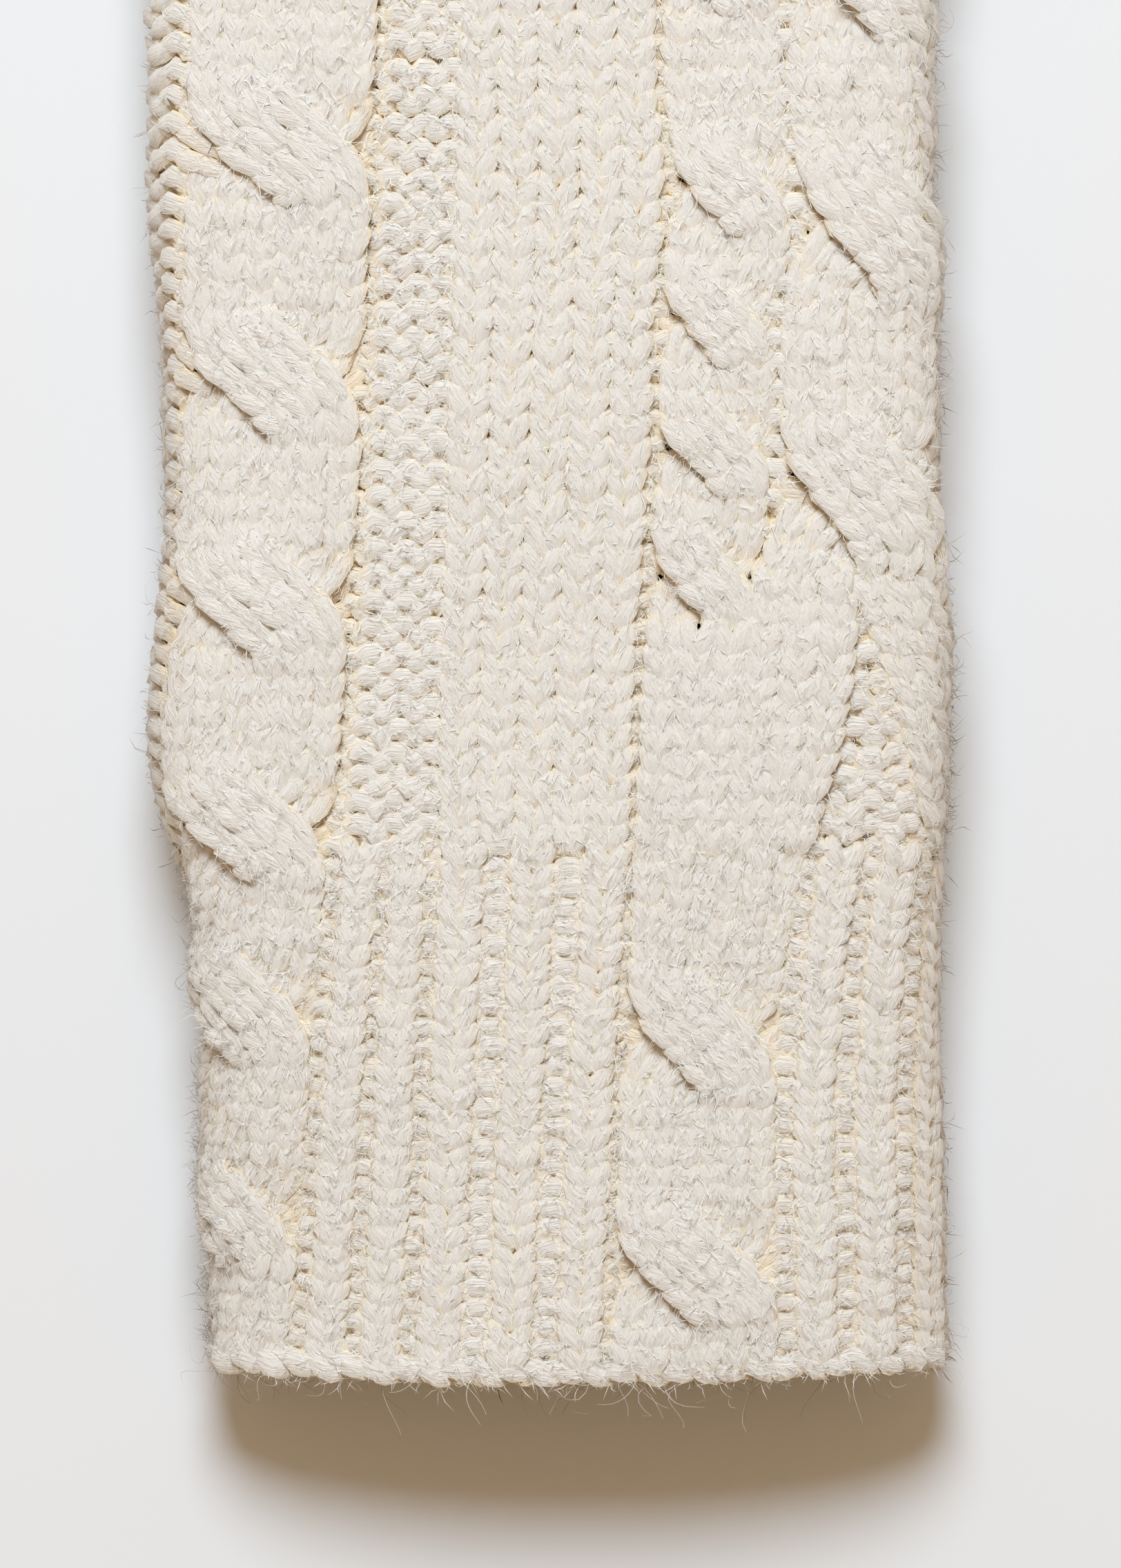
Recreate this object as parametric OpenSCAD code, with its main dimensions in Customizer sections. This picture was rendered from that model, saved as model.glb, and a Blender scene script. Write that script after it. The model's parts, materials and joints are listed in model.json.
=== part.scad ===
// Long fingerless glove, cable knitted, lying flat with the back of the hand up.
// +Y points from the arm to the fingers, +X to the thumb side and +Z up.
// The origin is under the middle of the glove, on the surface that it lies on.

/* [Whole glove] */
// Length from the cast-on edge to the cast-off edge
glove_l = 280; // [240:5:320]
// Height of the flattened tube, without the raised stitches
glove_t = 22; // [18:1:26]
// Thickness of the knitted fabric
wall = 4.5; // [3.5:0.5:5]
// How far the knitted columns lean to the thumb side, in degrees
lean = 2.8; // [0:0.2:4]
// Height of the raised strands of the cables
cable_relief = 2; // [1:0.5:2.5]
// Height of the knit columns of the ribbing
rib_relief = 1; // [0.5:0.25:1.5]
// Depth of the cast-on and cast-off edges
edge_l = 3; // [2:0.5:4]

/* [Hand] */
// Width of the hand, laid flat
hand_w = 97; // [92:1:104]
// Length of the ribbing at the fingers
hand_rib_l = 22; // [15:1:30]

/* [Cuff] */
// Width of the cuff, laid flat
cuff_w = 91; // [86:1:96]
// Middle of the cuff, to the thumb side of the middle of the hand
cuff_x = 2; // [0:0.5:3]
// Length of the cuff, with its cast-on edge
cuff_l = 65; // [50:1:80]
// Width of one pair of rib columns
rib_pitch = 6.6; // [6:0.1:7.5]

/* [Cables] */
// Distance between the crossings of the cable on the little finger side
left_pitch = 26.8; // [24:0.2:28]
// Distance between the crossings of the cable on the thumb side
right_pitch = 31; // [27:0.5:33]
// Distance between the crossings of the narrow cable
narrow_pitch = 15.2; // [13:0.2:16]
// Distance between the crossings in the cuff
cuff_pitch = 29; // [26:0.5:32]

/* [Thumb] */
// Width of the thumb tube, laid flat
thumb_w = 32; // [28:1:36]
// Height of the thumb tube
thumb_t = 18; // [15:1:20]
// Thickness of the thumb's fabric
thumb_wall = 3.5; // [3:0.5:4]
// Length of the thumb along its middle
thumb_l = 40; // [35:1:50]
// Length of the ribbing on the thumb
thumb_rib_l = 14; // [10:1:16]
// Angle between the thumb and the hand
thumb_angle = 45; // [40:1:55]
// Where the thumb's wrist-side edge meets the hand
thumb_y = 48; // [40:1:55]

/* [Hidden] */
end_y = glove_l / 2;
wrist_y = cuff_l - end_y;
half_t = glove_t / 2;
// Half of the gap that lets two bodies turn against each other
clearance = 0.2;
// The columns stop leaning here, above the thumb's root
straight_y = 50;
// The wide cable on the thumb side swings over between these two places
swing_top_y = -45;
swing_end_y = -61;
// How far it stands out beside the cuff's edge at the end of that swing
swing_out = 3;
rib_top_y = end_y - edge_l;
rib_start_y = rib_top_y - hand_rib_l;
cuff_start_y = edge_l - end_y;
// Edges between the panels of the hand, where they cross y = 0
gutter_x = -24.1;
centre_x = -11.8;
groove_x = 13.4;
right_cable_x = 27.4;
// Outer edges of the strands that cross in the wide cables: the left one ends inside the
// rounded side, and the right one also stays clear of the thumb's root
left_strand_x = -45;
right_strand_x = 43.5;
// How far inside the edges of their own panel the other crossings stay
narrow_inset = 0.5;
cuff_inset = 1;
// Width of the strand in front, as a share of its cable's
strand_share = 0.42;
// Length of a strand, and of its way across the cable, as shares of the cable's pitch
strand_reach = 0.86;
cross_reach = 0.55;
// The first crossing of each cable
left_cross_y = -73;
narrow_cross_y = -42.5;
right_cross_y = -32.5;
cuff_cross_y = -126;
left_crossings = 8;
narrow_crossings = 10;
right_crossings = 5;
cuff_crossings = 2;
// Edges between the panels of the cuff, at the wrist
cuff_rib_x = -27.5;
cuff_centre_x = -12.6;
cuff_groove_x = 9.8;
cuff_side_rib_x = 30;
// First raised column of each panel of the cuff, at the wrist
left_ridge_x = -30;
left_ribs_x = -21.8;
centre_ribs_x = -8.6;
side_ribs_x = 34;
// Half of a raised column's width, as a share of rib_pitch
rib_half = 0.33;
// Raised columns of the finger ribbing, and the first one's distance from the side
finger_ribs = 13;
finger_ribs_inset = 5;
// Half of the thumb's root, along the hand's side
root_half = thumb_w / 2 / sin(thumb_angle);
root_y = thumb_y + root_half;
thumb_rib_start = thumb_l - edge_l - thumb_rib_l;
// How far the thumb's fabric reaches under the hand's rounded side
thumb_under = 4;
// The hole in the hand's side, and the edge of picked-up stitches around it
hole_l = 35;
hole_h = 11;
hole_z = 9.5;
hole_edge = 3;
far = 400;
$fn = 64;

// x of a column at y, when it crosses y = 0 at x
function leaning(x, y) = x + tan(lean) * min(y, straight_y);
// x where a column that is at x at the wrist crosses y = 0
function from_wrist(x) = x - tan(lean) * wrist_y;
// Plan of a leaning edge from y0 to y1, with its bend where the columns straighten
function edge_points(x, y0, y1) =
    [for (y = y0 < straight_y && straight_y < y1 ? [y0, straight_y, y1] : [y0, y1])
        [leaning(x, y), y]];
function reversed(list) = [for (i = [len(list) - 1 : -1 : 0]) list[i]];

// Flattened tube's outline in the XZ plane: a flat oval that rests on z = 0
module flat_oval(w, t, grow = 0) {
    r = t / 2 + grow;
    translate([0, t / 2]) {
        square([w - t, 2 * r], center = true);
        for (side = [-1, 1]) translate([side * (w - t) / 2, 0]) circle(r);
    }
}

// Solid between y0 and y1 with the flat oval's outline
module oval_block(w, t, y0, y1, grow = 0) {
    translate([0, y1, 0]) rotate([90, 0, 0]) linear_extrude(y1 - y0) flat_oval(w, t, grow);
}

// Open tube of fabric between y0 and y1
module oval_tube(w, t, thickness, y0, y1) {
    difference() {
        oval_block(w, t, y0, y1);
        oval_block(w, t, y0 - 1, y1 + 1, -thickness);
    }
}

// Part of its children above or below the fold of the flattened tube
module above(z) {
    intersection() {
        children();
        translate([-far / 2, -far / 2, z]) cube([far, far, far]);
    }
}
module below(z) {
    intersection() {
        children();
        translate([-far / 2, -far / 2, z - far]) cube([far, far, far]);
    }
}
// Part of its children between two x values
module between(x0, x1) {
    intersection() {
        children();
        translate([x0, -far / 2, -far / 2]) cube([x1 - x0, far, far]);
    }
}

// Rounded bar in plan, used for one strand of a crossing
module strand_plan(length, width) {
    square([width, length - width], center = true);
    for (end = [-1, 1]) translate([0, end * (length - width) / 2]) circle(width / 2);
}

// Front strands of a cable in plan, one at each crossing, between two leaning edges
module crossings_plan(x0, x1, first_y, pitch, count) {
    width = (x1 - x0) * strand_share;
    slant = atan((x1 - x0 - width) / (pitch * cross_reach));
    for (i = [0 : count - 1]) {
        y = first_y + i * pitch;
        translate([leaning((x0 + x1) / 2, y), y]) rotate(slant)
            strand_plan(pitch * strand_reach, width);
    }
}

// Raised knit columns of ribbing in plan
module rib_plan(x0, count, y0, y1) {
    for (i = [0 : count - 1]) {
        x = x0 + i * rib_pitch;
        polygon(concat(edge_points(x - rib_pitch * rib_half, y0, y1),
                       reversed(edge_points(x + rib_pitch * rib_half, y0, y1))));
    }
}

// The hand's fabric above the fold, inside a plan outline given as the first child;
// any other children are plans of what stands proud of it by relief
module hand_top(relief = 0) {
    above(half_t) difference() {
        union() {
            intersection() {
                oval_block(hand_w, glove_t, wrist_y + clearance, rib_top_y);
                linear_extrude(far) children(0);
            }
            if ($children > 1) intersection() {
                oval_block(hand_w, glove_t, wrist_y + clearance, rib_top_y, relief);
                linear_extrude(far) intersection() {
                    children(0);
                    children(1);
                }
            }
        }
        oval_block(hand_w, glove_t, -far / 2, far / 2, -wall);
    }
}

// The same for the cuff
module cuff_top(relief = 0) {
    above(half_t) difference() {
        union() {
            intersection() {
                translate([cuff_x, 0, 0])
                    oval_block(cuff_w, glove_t, cuff_start_y, wrist_y - clearance);
                linear_extrude(far) children(0);
            }
            if ($children > 1) intersection() {
                translate([cuff_x, 0, 0])
                    oval_block(cuff_w, glove_t, cuff_start_y, wrist_y - clearance, relief);
                linear_extrude(far) intersection() {
                    children(0);
                    children(1);
                }
            }
        }
        translate([cuff_x, 0, 0]) oval_block(cuff_w, glove_t, -far / 2, far / 2, -wall);
    }
}

// Plans of the hand's panels
module strip_plan(x0, x1, y0 = wrist_y, y1 = rib_start_y) {
    polygon(concat(edge_points(x0, y0, y1), reversed(edge_points(x1, y0, y1))));
}
module narrow_cable_plan() {
    polygon(concat([[leaning(groove_x, swing_end_y), swing_end_y]],
                   [[leaning(right_cable_x, swing_top_y), swing_top_y]],
                   [for (y = [straight_y, rib_start_y]) [leaning(right_cable_x, y), y]],
                   reversed(edge_points(groove_x, swing_end_y, rib_start_y))));
}
module right_cable_plan() {
    polygon([[leaning(from_wrist(cuff_groove_x), wrist_y), wrist_y],
             [leaning(from_wrist(cuff_side_rib_x), wrist_y), wrist_y],
             [leaning(from_wrist(cuff_side_rib_x), swing_end_y) + swing_out, swing_end_y],
             [hand_w / 2 + 1, swing_top_y],
             [hand_w / 2 + 1, rib_start_y],
             [leaning(right_cable_x, rib_start_y), rib_start_y],
             [leaning(right_cable_x, straight_y), straight_y],
             [leaning(right_cable_x, swing_top_y), swing_top_y],
             [leaning(groove_x, swing_end_y), swing_end_y],
             [leaning(groove_x, wrist_y), wrist_y]]);
}

// Rounded slot through the hand's side, where the thumb goes out
module thumb_slot(edge) {
    translate([0, root_y, hole_z]) rotate([90, 0, 90]) linear_extrude(far) {
        square([hole_l - hole_h, hole_h + 2 * edge], center = true);
        for (end = [-1, 1])
            translate([end * (hole_l - hole_h) / 2, 0]) circle(hole_h / 2 + edge);
    }
}

// Frame of the thumb: the children's +Y runs along the thumb from the middle of its root
module along_thumb() {
    translate([hand_w / 2 + 2 * clearance, root_y, 0]) rotate(-thumb_angle) children();
}

// Thumb tube between two places along it, cut to fit the hand's side
module thumb_tube(s0, s1, grow = 0) {
    difference() {
        along_thumb() difference() {
            oval_block(thumb_w, thumb_t, s0, s1, grow);
            oval_block(thumb_w, thumb_t, s0 - 1, s1 + 1, -thumb_wall);
        }
        oval_block(hand_w, glove_t, -far / 2, far / 2, 2 * clearance);
        // Inward of here the fabric would be a knife edge under the hand's side
        translate([-far + hand_w / 2 - thumb_under, -far / 2, -1]) cube([far, far, far]);
    }
}
module thumb_root_tube() {
    // Starts behind the root, so that the hand's side cuts it all round
    above(0) thumb_tube(-thumb_w, thumb_rib_start);
}
module thumb_rib_tube() {
    thumb_tube(thumb_rib_start, thumb_l - edge_l);
}

module left_rope_cable() color("ivory") hand_top(cable_relief) {
    strip_plan(-far, gutter_x);
    crossings_plan(left_strand_x, gutter_x, left_cross_y, left_pitch, left_crossings);
}
module left_purl_gutter() color("wheat") hand_top() strip_plan(gutter_x, centre_x);
module centre_panel() color("linen") hand_top() strip_plan(centre_x, groove_x);
module narrow_rope_cable() color("ivory") hand_top(cable_relief) {
    narrow_cable_plan();
    crossings_plan(groove_x + narrow_inset, right_cable_x - narrow_inset,
                   narrow_cross_y, narrow_pitch, narrow_crossings);
}
module right_rope_cable() color("oldlace") difference() {
    hand_top(cable_relief) {
        right_cable_plan();
        crossings_plan(right_cable_x, right_strand_x, right_cross_y, right_pitch,
                       right_crossings);
    }
    thumb_slot(hole_edge);
}
module right_purl_gutter() color("wheat") hand_top() difference() {
    strip_plan(from_wrist(cuff_side_rib_x), far, wrist_y, swing_top_y);
    right_cable_plan();
}

module palm_panel() color("antiquewhite") below(half_t)
    between(-hand_w / 2 + half_t, hand_w / 2 - half_t)
        oval_tube(hand_w, glove_t, wall, wrist_y + clearance, rib_start_y);
module little_finger_side() color("bisque") below(half_t)
    between(-far, -hand_w / 2 + half_t)
        oval_tube(hand_w, glove_t, wall, wrist_y + clearance, rib_start_y);
module thumb_side() color("bisque") difference() {
    below(half_t) between(hand_w / 2 - half_t, far)
        oval_tube(hand_w, glove_t, wall, wrist_y + clearance, rib_start_y);
    thumb_slot(hole_edge);
}
module finger_rib_back() color("ivory") hand_top(rib_relief) {
    strip_plan(-far, far, rib_start_y, rib_top_y);
    rib_plan(-hand_w / 2 + finger_ribs_inset, finger_ribs, rib_start_y, rib_top_y);
}
module finger_rib_palm() color("antiquewhite") below(half_t)
    oval_tube(hand_w, glove_t, wall, rib_start_y, rib_top_y);
module cast_off_edge() color("ivory")
    oval_tube(hand_w, glove_t, wall, rib_top_y, end_y);
module thumb_opening_edge() color("tan") between(hand_w / 2 - half_t, far)
    intersection() {
        oval_tube(hand_w, glove_t, wall, wrist_y, rib_start_y);
        difference() {
            thumb_slot(hole_edge);
            thumb_slot(0);
        }
    }

module cuff_left_cable() color("ivory") cuff_top(cable_relief) {
    strip_plan(-far, from_wrist(cuff_rib_x), -end_y, wrist_y);
    rib_plan(left_ridge_x, 1, -end_y, wrist_y);
}
module cuff_left_rib() color("oldlace") cuff_top(rib_relief) {
    strip_plan(from_wrist(cuff_rib_x), from_wrist(cuff_centre_x), -end_y, wrist_y);
    rib_plan(from_wrist(left_ribs_x), 2, -end_y, wrist_y);
}
module cuff_centre_rib() color("linen") cuff_top(rib_relief) {
    strip_plan(from_wrist(cuff_centre_x), from_wrist(cuff_groove_x), -end_y, wrist_y);
    rib_plan(from_wrist(centre_ribs_x), 3, -end_y, wrist_y);
}
module cuff_right_cable() color("ivory") cuff_top(cable_relief) {
    strip_plan(from_wrist(cuff_groove_x), from_wrist(cuff_side_rib_x), -end_y, wrist_y);
    crossings_plan(from_wrist(cuff_groove_x) + cuff_inset,
                   from_wrist(cuff_side_rib_x) - cuff_inset,
                   cuff_cross_y, cuff_pitch, cuff_crossings);
}
module cuff_right_rib() color("oldlace") cuff_top(rib_relief) {
    strip_plan(from_wrist(cuff_side_rib_x), far, -end_y, wrist_y);
    rib_plan(from_wrist(side_ribs_x), 2, -end_y, wrist_y);
}
module cuff_palm() color("antiquewhite") translate([cuff_x, 0, 0]) below(half_t)
    between(-cuff_w / 2 + half_t, cuff_w / 2 - half_t)
        oval_tube(cuff_w, glove_t, wall, cuff_start_y, wrist_y - clearance);
module cuff_little_finger_side() color("bisque") translate([cuff_x, 0, 0]) below(half_t)
    between(-far, -cuff_w / 2 + half_t)
        oval_tube(cuff_w, glove_t, wall, cuff_start_y, wrist_y - clearance);
module cuff_thumb_side() color("bisque") translate([cuff_x, 0, 0]) below(half_t)
    between(cuff_w / 2 - half_t, far)
        oval_tube(cuff_w, glove_t, wall, cuff_start_y, wrist_y - clearance);
module cast_on_edge() color("ivory") translate([cuff_x, 0, 0])
    oval_tube(cuff_w, glove_t, wall, -end_y, cuff_start_y);

module thumb_back() color("ivory") above(thumb_t / 2) thumb_root_tube();
module thumb_palm() color("antiquewhite") below(thumb_t / 2) thumb_root_tube();
module thumb_rib_back() color("oldlace") above(thumb_t / 2) thumb_rib_tube();
module thumb_rib_palm() color("bisque") below(thumb_t / 2) thumb_rib_tube();
module thumb_cast_off_edge() color("ivory") thumb_tube(thumb_l - edge_l, thumb_l);

left_rope_cable();
left_purl_gutter();
centre_panel();
narrow_rope_cable();
right_rope_cable();
right_purl_gutter();
palm_panel();
little_finger_side();
thumb_side();
finger_rib_back();
finger_rib_palm();
cast_off_edge();
thumb_opening_edge();
cuff_left_cable();
cuff_left_rib();
cuff_centre_rib();
cuff_right_cable();
cuff_right_rib();
cuff_palm();
cuff_little_finger_side();
cuff_thumb_side();
cast_on_edge();
thumb_back();
thumb_palm();
thumb_rib_back();
thumb_rib_palm();
thumb_cast_off_edge();
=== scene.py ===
import json
import math

import bpy
import numpy as np
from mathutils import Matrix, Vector


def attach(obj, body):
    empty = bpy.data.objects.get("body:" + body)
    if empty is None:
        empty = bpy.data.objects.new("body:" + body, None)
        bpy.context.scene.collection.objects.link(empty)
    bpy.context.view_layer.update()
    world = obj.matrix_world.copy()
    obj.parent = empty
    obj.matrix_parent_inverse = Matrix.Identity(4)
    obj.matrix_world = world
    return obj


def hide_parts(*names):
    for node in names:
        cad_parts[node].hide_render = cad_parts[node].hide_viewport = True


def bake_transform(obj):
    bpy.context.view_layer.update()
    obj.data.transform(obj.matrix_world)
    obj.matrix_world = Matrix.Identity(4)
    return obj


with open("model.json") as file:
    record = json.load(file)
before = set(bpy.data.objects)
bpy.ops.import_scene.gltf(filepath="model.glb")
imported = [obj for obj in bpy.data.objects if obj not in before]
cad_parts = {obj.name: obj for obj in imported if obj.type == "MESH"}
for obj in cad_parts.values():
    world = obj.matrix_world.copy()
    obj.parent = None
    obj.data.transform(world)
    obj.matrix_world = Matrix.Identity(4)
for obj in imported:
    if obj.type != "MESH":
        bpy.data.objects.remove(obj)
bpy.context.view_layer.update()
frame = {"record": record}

MM = 0.001
LENGTH = 280.0
HALF_LENGTH = LENGTH / 2
WRIST_V = 65.0
FINGER_RIB_V = 255.0
TOP_ROW_V = 276.0
FIRST_ROW_V = 3.4
rng = np.random.default_rng(11)

# ---------------------------------------------------------------- yarn
YARN_R = 1.13          # radius of the fluffy yarn
YARN_FLAT = 0.8        # its height over its width, pressed into the fabric
SCATTER = 0.70         # how far its shading follows the fabric's face and not its own roundness
LOOP_DEPTH = 0.78      # how far legs and heads stand before and behind the fabric's middle
LIFT_SHARE = 0.3       # how much of a panel's height counts in the depth that the painted warm shade in its colour follows
FULL_WIDTH = 3.4       # a narrower column has thinner yarn, down to this share
THINNEST = 0.78
# Share of a row's height that a loop reaches above and below its row, and how far its legs spread
KNIT_HEAD, PURL_HEAD, SINKER = 0.93, 0.56, 0.93
KNIT_SPLAY, PURL_SPLAY = 0.225, 0.14
PURL_PLUMP = 1.16
LEG_THINNER = 0.10     # how the yarn's radius changes along a loop
STEP_APART = 0.8       # neighbours that differ more than this in height meet low, as at a cable's side
FABRIC_OUT = LOOP_DEPTH + YARN_R
# Random changes from loop to loop: across, in height, along, in depth, outward and in plumpness
VARY_ACROSS, VARY_HEIGHT, VARY_ALONG, VARY_DEPTH, VARY_OUT, VARY_PLUMP = 0.13, 0.04, 0.12, 0.07, 0.10, 0.04
# Slow waves of the whole fabric: height, lengths along and around, and phase
WAVES = ((0.35, 17, 23, 0), (0.25, 9.1, -12.7, 1.3))
PASSING_REACH = 0.66   # share of a crossing's reach over which its front strand stands proud
STRAND_ROUND = 0.35    # how much lower a strand's outer columns are
BACK_STEPS = 16        # points in one loop of the back of the hand
BACK_SIDES = 9
PALM_STEPS = 11        # the palm lies on the ground, so its loops are coarser
PALM_SIDES = 6
EDGE_SIDES = 8


def smooth(t):
    """0 to 1 with level ends."""
    t = np.clip(t, 0.0, 1.0)
    return t * t * (3 - 2 * t)


# ---------------------------------------------------------------- the flattened tube
GRID_STEP = 0.5
AROUND_COUNT = 900
OUTLINE_COUNT = 1441
# Share of the way round, from the middle of the palm, where the back starts and ends
BACK_START, BACK_END = 0.26, 0.74


class Tube:
    """A flattened tube of fabric. left and right are keys of its silhouette, as (v, x)."""

    def __init__(self, start, end, left, right, fold_z, top, bottom, top_power, bottom_power):
        self.v = np.arange(start, end + GRID_STEP, GRID_STEP)
        left, right = self.eased(left), self.eased(right)
        half = (right - left) / 2 - FABRIC_OUT
        middle = (right + left) / 2
        # From the middle of the palm, round the left side and the back, to the palm again
        angle = np.linspace(1.5 * math.pi, -0.5 * math.pi, OUTLINE_COUNT)
        cosine, sine = np.cos(angle), np.sin(angle)
        power = np.where(sine >= 0, self.eased(top_power)[:, None], bottom_power)
        across = np.sign(cosine) * np.abs(cosine) ** (2 / power)
        height = np.sign(sine) * np.abs(sine) ** (2 / power)
        x = middle[:, None] + half[:, None] * across
        z = fold_z + np.where(sine >= 0, top, bottom) * height
        step = np.hypot(np.diff(x, axis=1), np.diff(z, axis=1))
        run = np.concatenate([np.zeros((len(x), 1)), np.cumsum(step, axis=1)], axis=1)
        top_at = np.argmax(sine)
        self.around = run[:, -1]
        self.q = np.linspace(-0.5, 0.5, AROUND_COUNT)
        self.x = np.empty((len(x), AROUND_COUNT))
        self.z = np.empty((len(x), AROUND_COUNT))
        for row in range(len(x)):
            centred = (run[row] - run[row, top_at]) / self.around[row]
            wrapped = np.concatenate([centred - 1, centred[1:], centred[1:] + 1])
            for table, values in ((self.x, x[row]), (self.z, z[row])):
                table[row] = np.interp(self.q, wrapped, np.concatenate([values, values[1:], values[1:]]))
        dx, dz = np.gradient(self.x, axis=1), np.gradient(self.z, axis=1)
        size = np.maximum(np.hypot(dx, dz), 1e-9)
        # Outward normal: +Z on the back, where x grows with s
        self.nx, self.nz = -dz / size, dx / size

    def eased(self, keys, reach=5.0):
        """A line through (v, value) keys at each v of the grid, with its corners rounded."""
        keys = np.array(keys, float)
        offsets = np.linspace(-reach, reach, 9)
        return sum(np.interp(self.v + o, keys[:, 0], keys[:, 1]) for o in offsets) / len(offsets)

    def on_back(self, keys):
        """Place around the tube, at each v of the grid, of a line on the back given as plan x."""
        back = slice(int(AROUND_COUNT * BACK_START), int(AROUND_COUNT * BACK_END))
        x = self.eased(keys)
        return np.array([np.interp(x[r], self.x[r, back], self.q[back]) * self.around[r]
                         for r in range(len(x))])

    def index(self, v):
        return int(np.clip((v - self.v[0]) / GRID_STEP, 0, len(self.v) - 1))

    def turn(self, s, v):
        """Share of the way round, from -0.5 to 0.5, with 0 at the middle of the back."""
        return (s / self.around[self.index(v)] + 0.5) % 1.0 - 0.5

    def point(self, s, v, h):
        """Points at s, v and h, and the fabric's outward normals there."""
        row = np.clip((v - self.v[0]) / GRID_STEP, 0, len(self.v) - 1.001)
        around = np.interp(v, self.v, self.around)
        column = ((s / around + 0.5) % 1.0) * (AROUND_COUNT - 1)
        r0, c0 = row.astype(int), np.minimum(column.astype(int), AROUND_COUNT - 2)
        fr, fc = row - r0, column - c0

        def read(table):
            low = table[r0, c0] * (1 - fc) + table[r0, c0 + 1] * fc
            high = table[r0 + 1, c0] * (1 - fc) + table[r0 + 1, c0 + 1] * fc
            return low * (1 - fr) + high * fr

        nx, nz = read(self.nx), read(self.nz)
        points = np.stack([read(self.x) + h * nx, v + 0 * nx, read(self.z) + h * nz], axis=-1)
        return points, np.stack([nx, 0 * nx, nz], axis=-1)


class Column:
    """One wale: its path around the tube at each v, and what its loops are like."""

    def __init__(self, panel, path, width, lift, offset=0.0, knit=1, zone=(0, LENGTH)):
        self.panel, self.knit, self.zone, self.path = panel, knit, zone, path
        self.slope = np.gradient(path, GRID_STEP)
        self.width, self.offset, self.lift = np.broadcast_arrays(width, offset, lift, path)[:3]


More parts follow.
